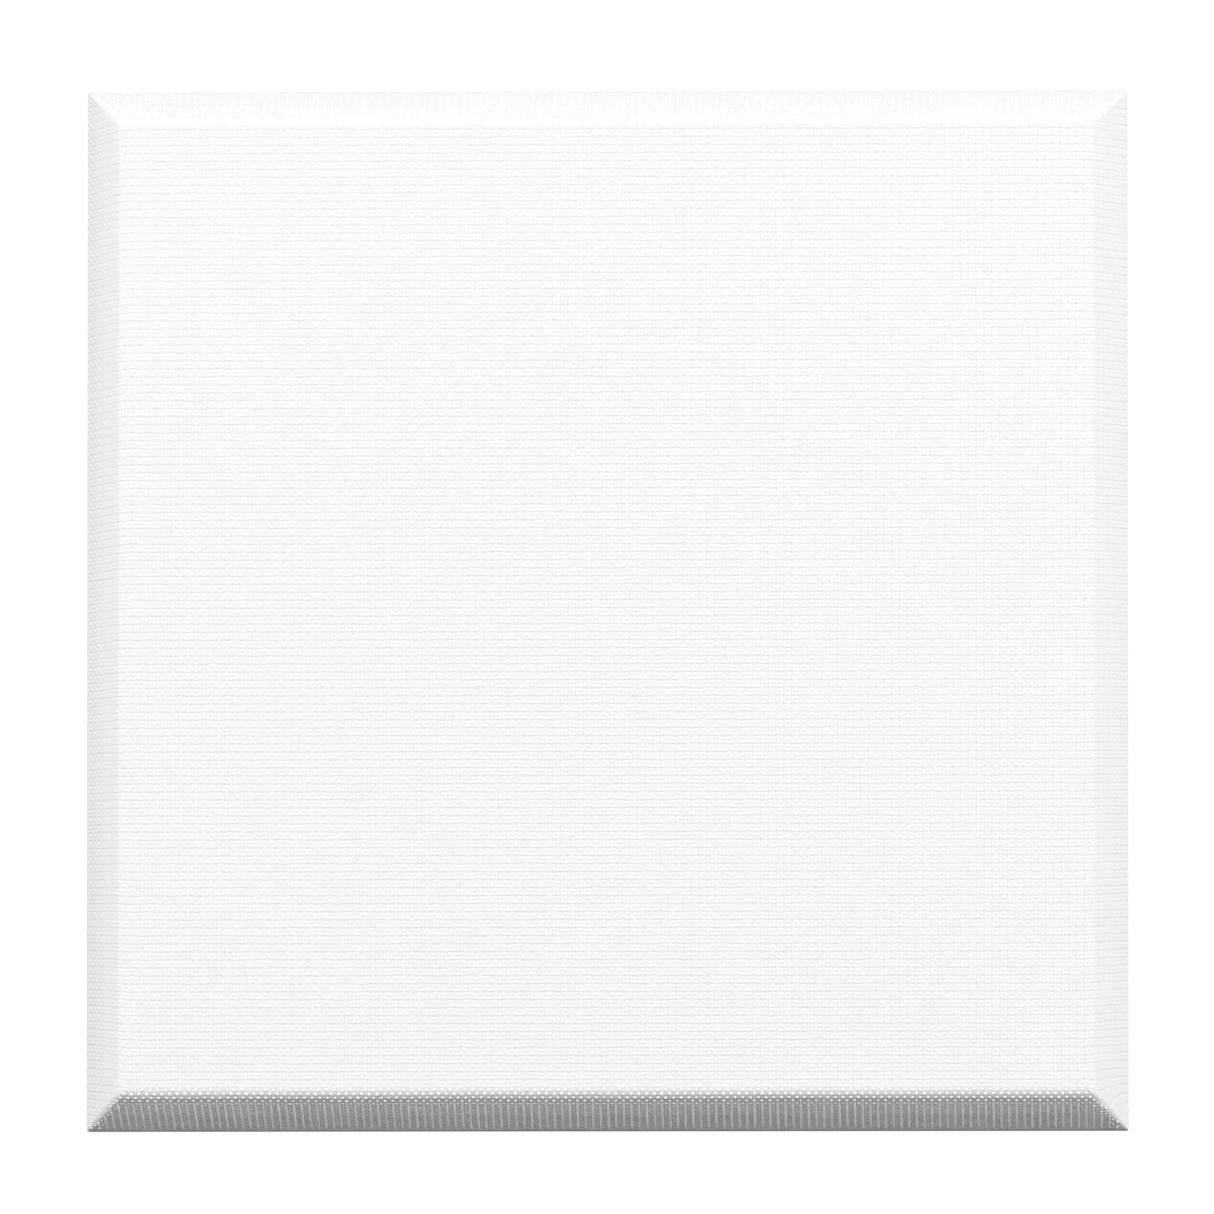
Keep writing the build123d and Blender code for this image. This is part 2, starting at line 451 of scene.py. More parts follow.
# %% The cloth as a piece
stretched_cloth = make_piece("stretched_cloth", vertices, quads, maps)
thread_changes = {"rib": pulled_straight(loop_lengths), "opened": opened_gaps(loop_lengths)}
for label, value in thread_changes.items():
    layer = stretched_cloth.data.attributes.new(label, "FLOAT", "CORNER")
    layer.data.foreach_set("value", value.astype(np.float32).ravel())
stretched_cloth.data.polygons.foreach_set("material_index", raw.astype(np.int32))

# %% [markdown]
# ## Beads on the ridge and ribs on the bevel
#
# Where the cloth bends over the bottom ridge, its crossings open out and each thread that
# lies on top stands up as a bead. Farther out, on the bottom and top bevels, only the tight
# upright threads still stand out, as thin ribs. Bump in the material can't do this: a low
# bump on a face turned away from the lamps stays dark, while a real bead catches their
# light on its flanks. So both are real shapes. They are placed by the same flat map as the
# weave, and because there are hundreds, each one has only a few dozen faces.

# %% A place on the cloth
upright_spacing = 0.001126
cross_spacing = 0.00117


def on_cloth(side, across, out):
    """Points on the cloth's outside and the directions along, out and up there.

    across and out are lengths of cloth: along the side from its middle, and outwards from
    the edge of the face. The section gives the distance and depth for out, and the lean of
    the threads is taken off across, as in the flat map.
    """
    half = np.interp(out, along_section, section[:, 0])
    depth = np.interp(out, along_section, section[:, 1])
    go_out = np.interp(out, along_section, tangent[:, 0])
    go_back = np.interp(out, along_section, tangent[:, 1])
    run = np.clip(half - face_half, 0, panel_half - face_half)
    along = across - lean_of_threads(side, across / half) * run
    ax, az, ox, oz = along_x[side], along_z[side], out_x[side], out_z[side]
    place = stacked(along * ax + half * ox, depth, along * az + half * oz)
    beside = stacked(np.full_like(along, ax), 0.0, az)
    outward = stacked(go_out * ox, go_back, go_out * oz)
    upward = stacked(go_back * ox, -go_out, go_back * oz)
    return along, half, place, beside, outward, upward


def crossings(side):
    """Where an upright thread is on top on a side's ridge and bevel: across, out, and if it is tight.

    Column c and row r cross at (c + 0.5) and (r + 0.5) spacings from the panel's middle, and
    the upright thread is on top where c and r are both even or both odd in the weave's count.
    """
    columns = np.arange(-140, 140)
    rows = np.arange(118, 136)
    column, row = np.meshgrid(columns, rows, indexing="ij")
    across = (column + 0.5) * upright_spacing * along_x[side]
    out = (row + 0.5) * cross_spacing - face_half
    weave_row = np.where(out_z[side] < 0, -row - 1, row)
    on_top = (column + weave_row) % 2 == 0
    return across[on_top], out[on_top], column[on_top] % 2 == 0


# %% Small shapes that are repeated
def repeated(faces, count, points_in_one):
    """The faces of one small shape, numbered again for each of its copies."""
    return [face + points_in_one * number for number in range(count) for face in faces]


def tube_faces(ids):
    """Quads round a tube, and a cap at each end, from its point numbers, one row for each station."""
    turned = np.roll(ids, -1, axis=1)
    sides = np.stack([ids[:-1], ids[1:], turned[1:], turned[:-1]], axis=2).reshape(-1, 4)
    return [*sides, ids[0], ids[-1][::-1]]


# %% Beads
bead_rows_end = 0.0056
bead_half_width = 0.00056
bead_half_length = 0.00050
rib_half_width = 0.00034
bevel_end = float(along_section[np.argmax(section[:, 0] > panel_half - 0.0003)])


def beads(side, height, near_mitre, seed):
    """Low domes at the crossings over the ridge, and farther out within near_mitre of a mitre.

    A dome has rings at -20, 25 and 60 degrees and a pole. A ring's radius is the cosine of
    its angle times the half widths, and its height is the sine times the height.
    """
    chance = np.random.default_rng(seed)
    across, out, tight = crossings(side)
    along, half, *_ = on_cloth(side, across, out)
    to_mitre = half - abs(along)
    wanted = (out > 0.0001) & (out < bevel_end - 0.0006) & (to_mitre > 0.0005)
    wanted &= (out < bead_rows_end) | (to_mitre < near_mitre)
    across, out, tight = across[wanted], out[wanted], tight[wanted]
    count = len(across)
    across = across + chance.normal(0, 0.00005, count)
    out = out + chance.normal(0, 0.00004, count)
    _, _, place, beside, outward, upward = on_cloth(side, across, out)
    size = chance.uniform(0.8, 1.15, count) * np.where(tight, 1.0, 0.85)
    size = size * np.interp(out, [0.0, 0.001, 0.0035, bead_rows_end], [0.7, 1.05, 1.0, 0.8])
    taller = np.where(out > bead_rows_end, 1.5, 1.0)
    ring = np.radians([-20.0, 25.0, 60.0])
    sectors = 8
    pole = len(ring) * sectors
    turn = np.linspace(0, 2 * math.pi, sectors, endpoint=False)
    wide = bead_half_width * np.append(np.outer(np.cos(ring), np.cos(turn)), 0)
    long = bead_half_length * np.append(np.outer(np.cos(ring), np.sin(turn)), 0)
    high = height * np.append(np.repeat(np.sin(ring), sectors), 1)
    points = place[:, None] + np.outer(size, wide)[..., None] * beside[:, None]
    points = points + np.outer(size, long)[..., None] * outward[:, None]
    points = points + np.outer(size * taller, high)[..., None] * upward[:, None]
    ids = np.arange(pole).reshape(len(ring), sectors)
    following = np.roll(ids, -1, axis=1)
    belts = np.stack([ids[1:], following[1:], following[:-1], ids[:-1]], axis=2).reshape(-1, 4)
    tips = np.stack([np.full(sectors, pole), following[-1], ids[-1]], axis=1)
    faces = repeated([*belts, *tips, ids[0]], count, pole + 1)
    return points.reshape(-1, 3), faces, count


# %% Ribs
def ribs_on_bevel(side, height, near_mitre, seed):
    """Thin half-round strips along the tight upright threads, from the beads to the bevel's foot.

    Each is a tube of six points, with its two lowest points under the cloth's surface. Its
    height swells along it by a seeded amount and goes to nothing at both ends.
    """
    chance = np.random.default_rng(seed)
    across = (2 * np.arange(-68, 68) + 0.5) * upright_spacing * along_x[side]
    outs = np.linspace(bead_rows_end, bevel_end, 40)
    trial_along, trial_half, *_ = on_cloth(side, *np.broadcast_arrays(across[:, None], outs))
    clear = trial_half - abs(trial_along) > near_mitre
    start = np.where(clear.any(axis=1), outs[np.argmax(clear, axis=1)], bevel_end)
    kept = start < bevel_end - 0.002
    across, start = across[kept], start[kept] - 0.0008
    stations = 12
    share = np.linspace(0, 1, stations)
    out = start[:, None] + (bevel_end - start[:, None]) * share
    sway = chance.normal(0, 0.00002, out.shape)
    _, _, place, beside, outward, upward = on_cloth(side, across[:, None] + sway, out)
    swell = chance.uniform(0.7, 1.3, out.shape) * chance.uniform(0.85, 1.15, (len(across), 1))
    swell = swell * np.clip(share / 0.06, 0, 1) * np.clip((1 - share) / 0.08, 0, 1)
    wide = rib_half_width * np.array([-1.0, -0.7, -0.2, 0.2, 0.7, 1.0])
    high = np.array([0.0, 0.6, 0.98, 0.98, 0.6, 0.0])
    sunk = np.array([-0.00005, 0, 0, 0, 0, -0.00005]) - 0.00003
    h = height * high * swell[..., None] + sunk
    points = place[:, :, None] + wide[:, None] * beside[:, :, None] + h[..., None] * upward[:, :, None]
    ids = np.arange(stations * len(wide)).reshape(stations, len(wide))
    faces = repeated(tube_faces(ids), len(across), ids.size)
    return points.reshape(-1, 3), faces, len(across)


# %% The beads and ribs as pieces
bead_height = 0.00030
rib_heights = {"bottom": 0.00025, "top": 0.00009}
side_numbers = {"bottom": 0, "top": 2}

points, faces, count = beads(0, bead_height, near_mitre=0.0034, seed=11)
print(count, "beads")
raised_threads = [make_piece("ridge_beads_bottom", uneven(points), faces, sharp_from=60)]
for end_name, side in side_numbers.items():
    points, faces, count = ribs_on_bevel(side, rib_heights[end_name], near_mitre=0.0018, seed=21 + side)
    print(end_name, count, "ribs")
    ribs = make_piece(f"bevel_ribs_{end_name}", uneven(points), faces, sharp_from=60)
    raised_threads.append(ribs)

# %% [markdown]
# ## The folded corners
#
# At each corner there is too much cloth. It is folded back along the mitre, so the top and
# bottom edges carry a doubled triangle at both ends. Each is a flat tube that narrows
# towards the corner of the panel: a slab with half-round edges, because a fold in thick
# cloth is round and not sharp.

# %% A folded corner
def folded_corner(right, up):
    """A flat tube over the triangle between the mitre and the panel's edge, for one corner.

    At each place along it the section is two lines joined by half circles, as wide as the
    triangle is there. It rises slightly, except within a few millimetres of its staple. It
    is worked out for the bottom right corner, and right and up, 1 or -1, carry it to another.
    """
    rows = 22
    line_points = 12
    round_points = 6
    base_y = flap_y - 0.00003
    round_half = doubled_cloth / 2
    share = np.linspace(0, 1, rows)[:, None]
    x = panel_half - flap_width + share * (flap_width - 0.0011)
    low = np.full_like(x, -panel_half + 0.00025)
    high = -x - 0.0001
    radius = np.minimum(round_half, (high - low) / 2)
    turn = np.linspace(-math.pi / 2, math.pi / 2, round_points)[None, :]
    step = np.linspace(0, 1, line_points + 2)[1:-1][None, :]
    low_c, high_c = low + radius, high - radius
    z = np.hstack([
        high_c + radius * np.cos(turn),
        high_c + (low_c - high_c) * step,
        low_c - radius * np.cos(turn),
        low_c + (high_c - low_c) * step,
    ])
    y = base_y + np.hstack([
        round_half + round_half * np.sin(turn),
        np.full((1, line_points), doubled_cloth),
        round_half - round_half * np.sin(turn),
        np.zeros((1, line_points)),
    ])
    distance = np.hypot(x - corner_staple_place, (z + staple_row) * 1.4)
    rise = fold_rise * np.sin(math.pi * share) ** 0.6 * (1 - np.exp(-((distance / 0.0065) ** 2)))
    y = y + rise * (y > base_y + doubled_cloth * 0.6)
    points = stacked(x * right, y, z * -up).reshape(-1, 3)
    faces = tube_faces(np.arange(z.size).reshape(z.shape))
    if right * up > 0:
        faces = [face[::-1] for face in faces]
    flat = points[:, [2, 0]]
    flat_map = np.vstack([flat[face] for face in faces])
    return points, faces, flat_map


# %% The four folded corners
corner_folds = []
for side_name, right in (("left", -1), ("right", 1)):
    for end_name, up in (("bottom", -1), ("top", 1)):
        points, faces, flat_map = folded_corner(right, up)
        fold = make_piece(f"corner_fold_{end_name}_{side_name}", points, faces, flat_map, sharp_from=60)
        corner_folds.append(fold)

# %% [markdown]
# ## The weave
#
# Plain weave is the simplest cloth: each upright thread goes over one cross thread and
# under the next, and its neighbour does the opposite. In this cloth every second upright
# thread is tighter and stands out more, so the surface shows rows of small beads.
#
# It could be an image or thousands of modelled threads. A few sums in the material draw it
# at any distance instead. Primer fills most of the gaps, so the surface is nearly level,
# with low beads at the crossings and a shallow groove under each row of them. Each groove
# is also painted into the colour as shade under its row. Where the cloth is bent, the gaps
# open and painted shade darkens them, and where the threads are pulled straight the pattern
# gives way to mottle, with the painted shade in random patches. The primed side, the folded
# corners and the bare inside all use it, so it is a node group with named inputs and outputs.

# %% Helpers for building node trees
def feed(tree, sockets, values):
    """Gives each socket its value: a number, a colour of three numbers, or a node's output."""
    for socket, value in zip(sockets, values):
        if isinstance(value, (int, float)):
            socket.default_value = value
        elif isinstance(value, tuple):
            socket.default_value = (*value, 1.0)
        else:
            tree.links.new(value, socket)


def sum_node(tree, operation, *values, clamp=False):
    """One Math node."""
    node = tree.nodes.new("ShaderNodeMath")
    node.operation = operation
    node.use_clamp = clamp
    feed(tree, node.inputs, values)
    return node.outputs[0]


def blend_numbers(tree, share, first, second):
    """A Mix node for numbers: first where share is 0 and second where it is 1."""
    node = tree.nodes.new("ShaderNodeMix")
    node.data_type = "FLOAT"
    feed(tree, (node.inputs[0], node.inputs[2], node.inputs[3]), (share, first, second))
    return node.outputs[0]


def blend_colours(tree, share, first, second):
    """A Mix node for colours, in the same way."""
    node = tree.nodes.new("ShaderNodeMix")
    node.data_type = "RGBA"
    feed(tree, (node.inputs[0], node.inputs[6], node.inputs[7]), (share, first, second))
    return node.outputs[2]


def noise(tree, vector, scale, detail=2.0, roughness=0.5):
    """A Noise Texture's value at vector."""
    node = tree.nodes.new("ShaderNodeTexNoise")
    node.inputs["Scale"].default_value = scale
    node.inputs["Detail"].default_value = detail
    node.inputs["Roughness"].default_value = roughness
    tree.links.new(vector, node.inputs["Vector"])
    return node.outputs[0]


def new_group(name, inputs, outputs):
    """An empty shader node group. Inputs are name and default, and a default of None is a vector."""
    group = bpy.data.node_groups.new(name, "ShaderNodeTree")
    for label, default in inputs.items():
        kind = "NodeSocketVector" if default is None else "NodeSocketFloat"
        socket = group.interface.new_socket(name=label, in_out="INPUT", socket_type=kind)
        if default is not None:
            socket.default_value = default
    for label in outputs:
        group.interface.new_socket(name=label, in_out="OUTPUT", socket_type="NodeSocketFloat")
    start = group.nodes.new("NodeGroupInput")
    end = group.nodes.new("NodeGroupOutput")
    return group, start.outputs, end.inputs


# %% The plain weave group
def smooth_step(tree, value, low, high):
    """0 below low, 1 above high and an S-curve between. It falls instead if low is the larger."""
    node = tree.nodes.new("ShaderNodeMapRange")
    node.interpolation_type = "SMOOTHSTEP"
    node.inputs["From Min"].default_value = low
    node.inputs["From Max"].default_value = high
    tree.links.new(value, node.inputs["Value"])
    return node.outputs[0]


def plain_weave_group():
    """Height and painted shade of a plain weave over a flat map in metres.

    Sin(pi * column) is 1 on a tight upright thread and -1 on a slack one. Under each
    cross row lies a groove with a steep upper wall: deep and broken into dashes where the
    cross thread passes over the slack threads, and shallow and unbroken under the next row.
    Height = 0.6 + beads where the upright threads come over + 0.2 on tight threads - groove.
    Painted Shade = groove + 5 * Opened in the gaps: shade that the materials paint into the
    colour under each row and in the open gaps. Rib turns both into a fine mottle.
    """
    group, given, result = new_group(
        "plain weave",
        {"Cloth": None, "Upright Spacing": 0.001, "Cross Spacing": 0.001, "Wander": 0.5,
         "Groove": 0.185, "Bead": 0.25, "Opened": 0.0, "Rib": 0.0},
        ("Height", "Painted Shade", "Thread"))
    sums = partial(sum_node, group)
    curve = partial(smooth_step, group)
    split = group.nodes.new("ShaderNodeSeparateXYZ")
    group.links.new(given["Cloth"], split.inputs[0])
    wander_a = sums("SUBTRACT", noise(group, given["Cloth"], 150.0, 2.0), 0.5)
    other_place = (3.7, 1.9, 5.1)
    shifted = group.nodes.new("ShaderNodeVectorMath")
    shifted.operation = "ADD"
    shifted.inputs[1].default_value = other_place
    group.links.new(given["Cloth"], shifted.inputs[0])
    wander_b = sums("SUBTRACT", noise(group, shifted.outputs[0], 170.0, 2.0), 0.5)
    column = sums("DIVIDE", split.outputs[0], given["Upright Spacing"])
    row = sums("DIVIDE", split.outputs[1], given["Cross Spacing"])
    column = sums("ADD", column, sums("MULTIPLY", wander_a, given["Wander"]))
    row = sums("ADD", row, sums("MULTIPLY", wander_b, given["Wander"]))

    # Where the threads lie: 0 to 1 on each kind of upright thread and cross row.
    column_wave = sums("SINE", sums("MULTIPLY", column, math.pi))
    slack = curve(column_wave, 0.65, 0.05)
    slack_crest = curve(column_wave, 0.3, -1.0)
    tight_crest = curve(column_wave, 0.1, 0.95)

    row_wave = sums("SINE", sums("MULTIPLY", row, math.pi))
    tight_row = curve(row_wave, 0.0, 0.9)
    slack_row = curve(row_wave, 0.0, -0.9)

    # The groove under each row, whose number tells a tight row from a slack one.
    edge = sums("ADD", row, 0.5)
    edge_number = sums("FLOOR", edge)
    beside = sums("SUBTRACT", sums("FRACT", edge), 0.5)
    under_tight = sums("COSINE", sums("MULTIPLY", edge_number, math.pi))
    under_tight = sums("MULTIPLY_ADD", under_tight, 0.5, 0.5)
    wall = curve(beside, 0.30, 0.0)
    slope = curve(beside, -0.5, -0.02)
    notch = sums("MULTIPLY", wall, slope)

    # A value of its own for each dash of the groove.
    chance = group.nodes.new("ShaderNodeTexWhiteNoise")
    chance.noise_dimensions = "2D"
    pair = group.nodes.new("ShaderNodeCombineXYZ")
    pair_number = sums("FLOOR", sums("MULTIPLY", sums("SUBTRACT", column, 0.5), 0.5))
    group.links.new(pair_number, pair.inputs[0])
    group.links.new(edge_number, pair.inputs[1])
    group.links.new(pair.outputs[0], chance.inputs["Vector"])
    group.links.new(chance.outputs["Value"], result["Thread"])

    deep = sums("MULTIPLY", slack, sums("MULTIPLY_ADD", chance.outputs["Value"], 0.5, 0.75))
    groove = blend_numbers(group, under_tight, 0.32, deep)
    groove = sums("MULTIPLY", groove, notch)

    bead = sums("MULTIPLY", tight_crest, tight_row)
    soft_bead = sums("MULTIPLY", slack_crest, slack_row)
    bead = sums("MULTIPLY_ADD", soft_bead, 0.5, bead)
    woven = sums("MULTIPLY", bead, given["Bead"])
    woven = sums("MULTIPLY_ADD", tight_crest, 0.2, woven)
    woven = sums("ADD", woven, 0.6)
    woven = sums("SUBTRACT", woven, sums("MULTIPLY", groove, given["Groove"]))

    mottle = noise(group, given["Cloth"], 1400.0, 1.0)
    height = blend_numbers(group, given["Rib"], woven, mottle)
    group.links.new(height, result["Height"])
    # Painted shade for the colour: the groove under each row, five times as strong in the open gaps, and a
    # random mottle of it where the threads are pulled straight.
    band = curve(mottle, 0.35, 0.7)
    open_gap_shade = sums("MULTIPLY", curve(bead, 0.4, 0.0), given["Opened"])
    painted_hollow_shade = sums("MULTIPLY_ADD", open_gap_shade, 5.0, groove)
    painted_shade = blend_numbers(group, given["Rib"], painted_hollow_shade, band)
    group.links.new(painted_shade, result["Painted Shade"])
    return group


plain_weave = plain_weave_group()
print("threads across the face", round(2 * ridge_half / upright_spacing))

# %% [markdown]
# ## Primed cloth and bare cloth
#
# The outer side has two coats of matt white primer. It is nearly pure white, with painted
# shade that makes it a little darker in the small hollows between threads, where less light
# gets in. The bare inside is unbleached cotton: cream, with threads that differ slightly and
# a few dark specks of seed husk, and painted shade in the gaps between its threads.

# %% Start a material
def new_material(name, sheen=0.5):
    """A material with its own Principled BSDF, as (material, node tree, shader inputs)."""
    material = bpy.data.materials.new(name)
    material.use_nodes = True
    shader = material.node_tree.nodes["Principled BSDF"]
    shader.inputs["Specular IOR Level"].default_value = sheen
    return material, material.node_tree, shader.inputs


def woven(tree, with_changes):
    """The weave group fed by the piece's own flat map, and by its two thread changes if it has them."""
    place = tree.nodes.new("ShaderNodeUVMap")
    place.uv_map = "Cloth"
    weave = tree.nodes.new("ShaderNodeGroup")
    weave.node_tree = plain_weave
    weave.inputs["Upright Spacing"].default_value = upright_spacing
    weave.inputs["Cross Spacing"].default_value = cross_spacing
    tree.links.new(place.outputs[0], weave.inputs["Cloth"])
    if with_changes:
        for label, socket in (("rib", "Rib"), ("opened", "Opened")):
            change = tree.nodes.new("ShaderNodeAttribute")
            change.attribute_name = label
            tree.links.new(change.outputs["Fac"], weave.inputs[socket])
    return place.outputs[0], weave


def bump(tree, height, distance, target, strength=1.0):
    """A Bump node from height to the target's Normal."""
    node = tree.nodes.new("ShaderNodeBump")
    node.inputs["Distance"].default_value = distance
    node.inputs["Strength"].default_value = strength
    tree.links.new(height, node.inputs["Height"])
    tree.links.new(node.outputs[0], target)


weave_depth = 0.0003
hollow_shade_share = 0.108
primer_sheen = 0.3


def primed_material(name, with_changes):
    """Matt white primer over the weave, with the weave's painted shade mixed into its colour."""
    material, tree, shader = new_material(name, primer_sheen)
    place, weave = woven(tree, with_changes)
    brushed = noise(tree, place, 60.0, 4.0, 0.6)
    grain = noise(tree, place, 1500.0, 2.0, 0.6)
    white = blend_colours(tree, brushed, (0.885, 0.885, 0.888), (0.905, 0.905, 0.905))
    # Painted shade: the weave's grooves and open gaps mix the white towards grey.
    painted_hollow_shade = sum_node(tree, "MULTIPLY", weave.outputs["Painted Shade"], hollow_shade_share)
    with_painted_shade = blend_colours(tree, painted_hollow_shade, white, (0.45, 0.455, 0.46))
    tree.links.new(with_painted_shade, shader["Base Color"])
    tree.links.new(sum_node(tree, "MULTIPLY_ADD", grain, 0.1, 0.72), shader["Roughness"])
    height = sum_node(tree, "MULTIPLY_ADD", grain, 0.16, weave.outputs["Height"])
    bump(tree, height, weave_depth, shader["Normal"])
    return material


def primer_on_threads(name):
    """The same primer on the raised beads and ribs, which are too small to show a weave."""
    material, tree, shader = new_material(name, primer_sheen)
    place = tree.nodes.new("ShaderNodeTexCoord")
    grain = noise(tree, place.outputs["Object"], 1500.0, 2.0, 0.6)
    white = blend_colours(tree, grain, (0.88, 0.88, 0.883), (0.91, 0.91, 0.91))
    tree.links.new(white, shader["Base Color"])
    tree.links.new(sum_node(tree, "MULTIPLY_ADD", grain, 0.1, 0.72), shader["Roughness"])
    bump(tree, grain, 0.00005, shader["Normal"])
    return material


def bare_material(name):
    """Unbleached cotton, with deeper gaps because no primer fills them, and darker painted shade in them."""
    material, tree, shader = new_material(name, 0.15)
    place, weave = woven(tree, False)
    weave.inputs["Groove"].default_value = 0.7
    cream = blend_colours(tree, weave.outputs["Thread"], (0.66, 0.585, 0.455), (0.78, 0.715, 0.60))
    # Painted shade: the weave's grooves and gaps mix the cream towards dark brown.
    painted_hollow_shade = sum_node(tree, "MULTIPLY", weave.outputs["Painted Shade"], 0.75)
    with_painted_shade = blend_colours(tree, painted_hollow_shade, cream, (0.30, 0.245, 0.17))
    speck = sum_node(tree, "GREATER_THAN", noise(tree, place, 420.0, 1.0, 0.4), 0.775)
    flecked = blend_colours(tree, sum_node(tree, "MULTIPLY", speck, 0.7), with_painted_shade, (0.16, 0.10, 0.05))
    tree.links.new(flecked, shader["Base Color"])
    fuzz = noise(tree, place, 2600.0, 2.0, 0.7)
    tree.links.new(sum_node(tree, "MULTIPLY_ADD", fuzz, 0.1, 0.85), shader["Roughness"])
    height = sum_node(tree, "MULTIPLY_ADD", fuzz, 0.3, weave.outputs["Height"])
    bump(tree, height, weave_depth, shader["Normal"])
    return material


# %% Dress the cloth
stretched_cloth.data.materials.append(primed_material("primed cotton", True))
stretched_cloth.data.materials.append(bare_material("bare cotton"))
primed_thread = primer_on_threads("primer on raised threads")
for piece in raised_threads:
    piece.data.materials.append(primed_thread)
primed_fold = primed_material("primed cotton fold", False)
for fold in corner_folds:
    fold.data.materials.append(primed_fold)

# %% [markdown]
# ## Pine bars and beech wedges
#
# Sawn timber shows the tree's yearly rings cut lengthwise: wide pale bands of spring wood and
# narrow darker lines of summer wood, which bend gently along the bar. The rings are
# rings round a far-off centre line, moved by slow noise. Fine streaks of fibre run the same
# way. The bars and the wedges share the group, with other colours and spacing, and
# a turn of the coordinates lays the grain along each bar.

# %% The wood grain group
def wood_grain_group():
    """Rings, fibres and height of wood whose grain runs along the first coordinate.

    A ring's place is the distance from a centre line divided by the ring spacing, plus
    noise that is slow along the grain. Its darkness rises slowly and falls quickly.
    """
    group, given, result = new_group(
        "wood grain",
        {"Along": 0.0, "Across": 0.0, "Deep": 0.0, "Ring Spacing": 0.002, "Swirl": 1.0},
        ("Ring", "Fibre", "Fleck", "Height"))
    sums = partial(sum_node, group)

    def stretched(along_scale, across_scale):
        """The coordinates with the grain direction scaled on its own."""
        point = group.nodes.new("ShaderNodeCombineXYZ")
        scales = {"Along": along_scale, "Across": across_scale, "Deep": across_scale}
        feed(group, point.inputs, [sums("MULTIPLY", given[way], scale) for way, scale in scales.items()])
        return point.outputs[0]

    slow = noise(group, stretched(7.0, 26.0), 1.0, 2.0, 0.5)
    tilt = sums("MULTIPLY", given["Along"], 0.035)
    across = sums("ADD", sums("ADD", given["Across"], 0.031), tilt)
    deep = sums("ADD", given["Deep"], 0.047)
    squares = sums("ADD", sums("MULTIPLY", across, across), sums("MULTIPLY", deep, deep))
    ring_place = sums("DIVIDE", sums("POWER", squares, 0.5), given["Ring Spacing"])
    ring_place = sums("MULTIPLY_ADD", slow, sums("MULTIPLY", given["Swirl"], 6.0), ring_place)
    saw = sums("FRACT", ring_place)
    ring = sums("MULTIPLY", sums("POWER", saw, 2.2), smooth_step(group, saw, 1.0, 0.9))
    fibre = noise(group, stretched(70.0, 2600.0), 1.0, 3.0, 0.65)
    fleck = sums("GREATER_THAN", noise(group, stretched(260.0, 3400.0), 1.0, 1.0, 0.5), 0.7)
    height = sums("MULTIPLY_ADD", fibre, 0.7, sums("MULTIPLY", ring, 0.5))
    height = sums("MULTIPLY_ADD", fleck, -0.4, height)
    for label, value in (("Ring", ring), ("Fibre", fibre), ("Fleck", fleck), ("Height", height)):
        group.links.new(value, result[label])
    return group


wood_grain = wood_grain_group()


def wood_material(name, upright, pale, dark, ring_spacing, swirl, ring_share):
    """Planed wood whose grain runs along Z if upright, and along X if not."""
    material, tree, shader = new_material(name, 0.35)
    sums = partial(sum_node, tree)
    shade = partial(blend_colours, tree)
    place = tree.nodes.new("ShaderNodeTexCoord")
    split = tree.nodes.new("ShaderNodeSeparateXYZ")
    tree.links.new(place.outputs["Object"], split.inputs[0])
    grain = tree.nodes.new("ShaderNodeGroup")
    grain.node_tree = wood_grain
    along, across = (2, 0) if upright else (0, 2)
    tree.links.new(split.outputs[along], grain.inputs["Along"])
    tree.links.new(split.outputs[across], grain.inputs["Across"])
    tree.links.new(split.outputs[1], grain.inputs["Deep"])
    grain.inputs["Ring Spacing"].default_value = ring_spacing
    grain.inputs["Swirl"].default_value = swirl
    darker = tuple(0.72 * value for value in dark)
    base = shade(sums("MULTIPLY", grain.outputs["Ring"], ring_share), pale, dark)
    streak = sums("MULTIPLY_ADD", grain.outputs["Fibre"], 0.8, -0.25, clamp=True)
    base = shade(sums("MULTIPLY", streak, 0.3), base, darker)
    base = shade(sums("MULTIPLY", grain.outputs["Fleck"], 0.35), base, darker)
    cloud = noise(tree, place.outputs["Object"], 28.0, 3.0, 0.5)
    base = shade(sums("MULTIPLY", cloud, 0.22), base, dark)
    tree.links.new(base, shader["Base Color"])
    rough = sums("MULTIPLY_ADD", grain.outputs["Fibre"], 0.25, 0.48)
    tree.links.new(rough, shader["Roughness"])
    bump(tree, grain.outputs["Height"], 0.00006, shader["Normal"])
    return material


# %% Dress the bars and wedges
def both_ways(name, **looks):
    """The same wood for level and for upright pieces, in that order."""
    return [wood_material(f"{name} across", False, **looks), wood_material(f"{name} upright", True, **looks)]


bar_woods = both_ways("pine", pale=(0.76, 0.58, 0.37), dark=(0.58, 0.36, 0.17),
                      ring_spacing=0.0026, swirl=1.0, ring_share=0.85)
wedge_woods = both_ways("wedge", pale=(0.60, 0.42, 0.27), dark=(0.42, 0.26, 0.15),
                        ring_spacing=0.0011, swirl=0.5, ring_share=0.5)

# %% [markdown]
# ## Staples
#
# The staples are flat galvanised wire. Zinc is a grey metal with a soft sheen: it is cloudy
# in patches, and the wire is drawn through a die, which leaves fine lines along it.

# %% The staple wire
def zinc_material(name):
    """Galvanised wire: metal with cloudy colour and fine scratches."""
    material, tree, shader = new_material(name)
    place = tree.nodes.new("ShaderNodeTexCoord")
    cloud = noise(tree, place.outputs["Object"], 900.0, 3.0, 0.6)
    colour = blend_colours(tree, cloud, (0.50, 0.51, 0.52), (0.72, 0.72, 0.71))
    tree.links.new(colour, shader["Base Color"])
    shader["Metallic"].default_value = 1.0
    scratch = noise(tree, place.outputs["Object"], 4200.0, 2.0, 0.7)
    tree.links.new(sum_node(tree, "MULTIPLY_ADD", scratch, 0.3, 0.22), shader["Roughness"])
    bump(tree, scratch, 0.00001, shader["Normal"], strength=0.6)
    return material


zinc = zinc_material("galvanised wire")

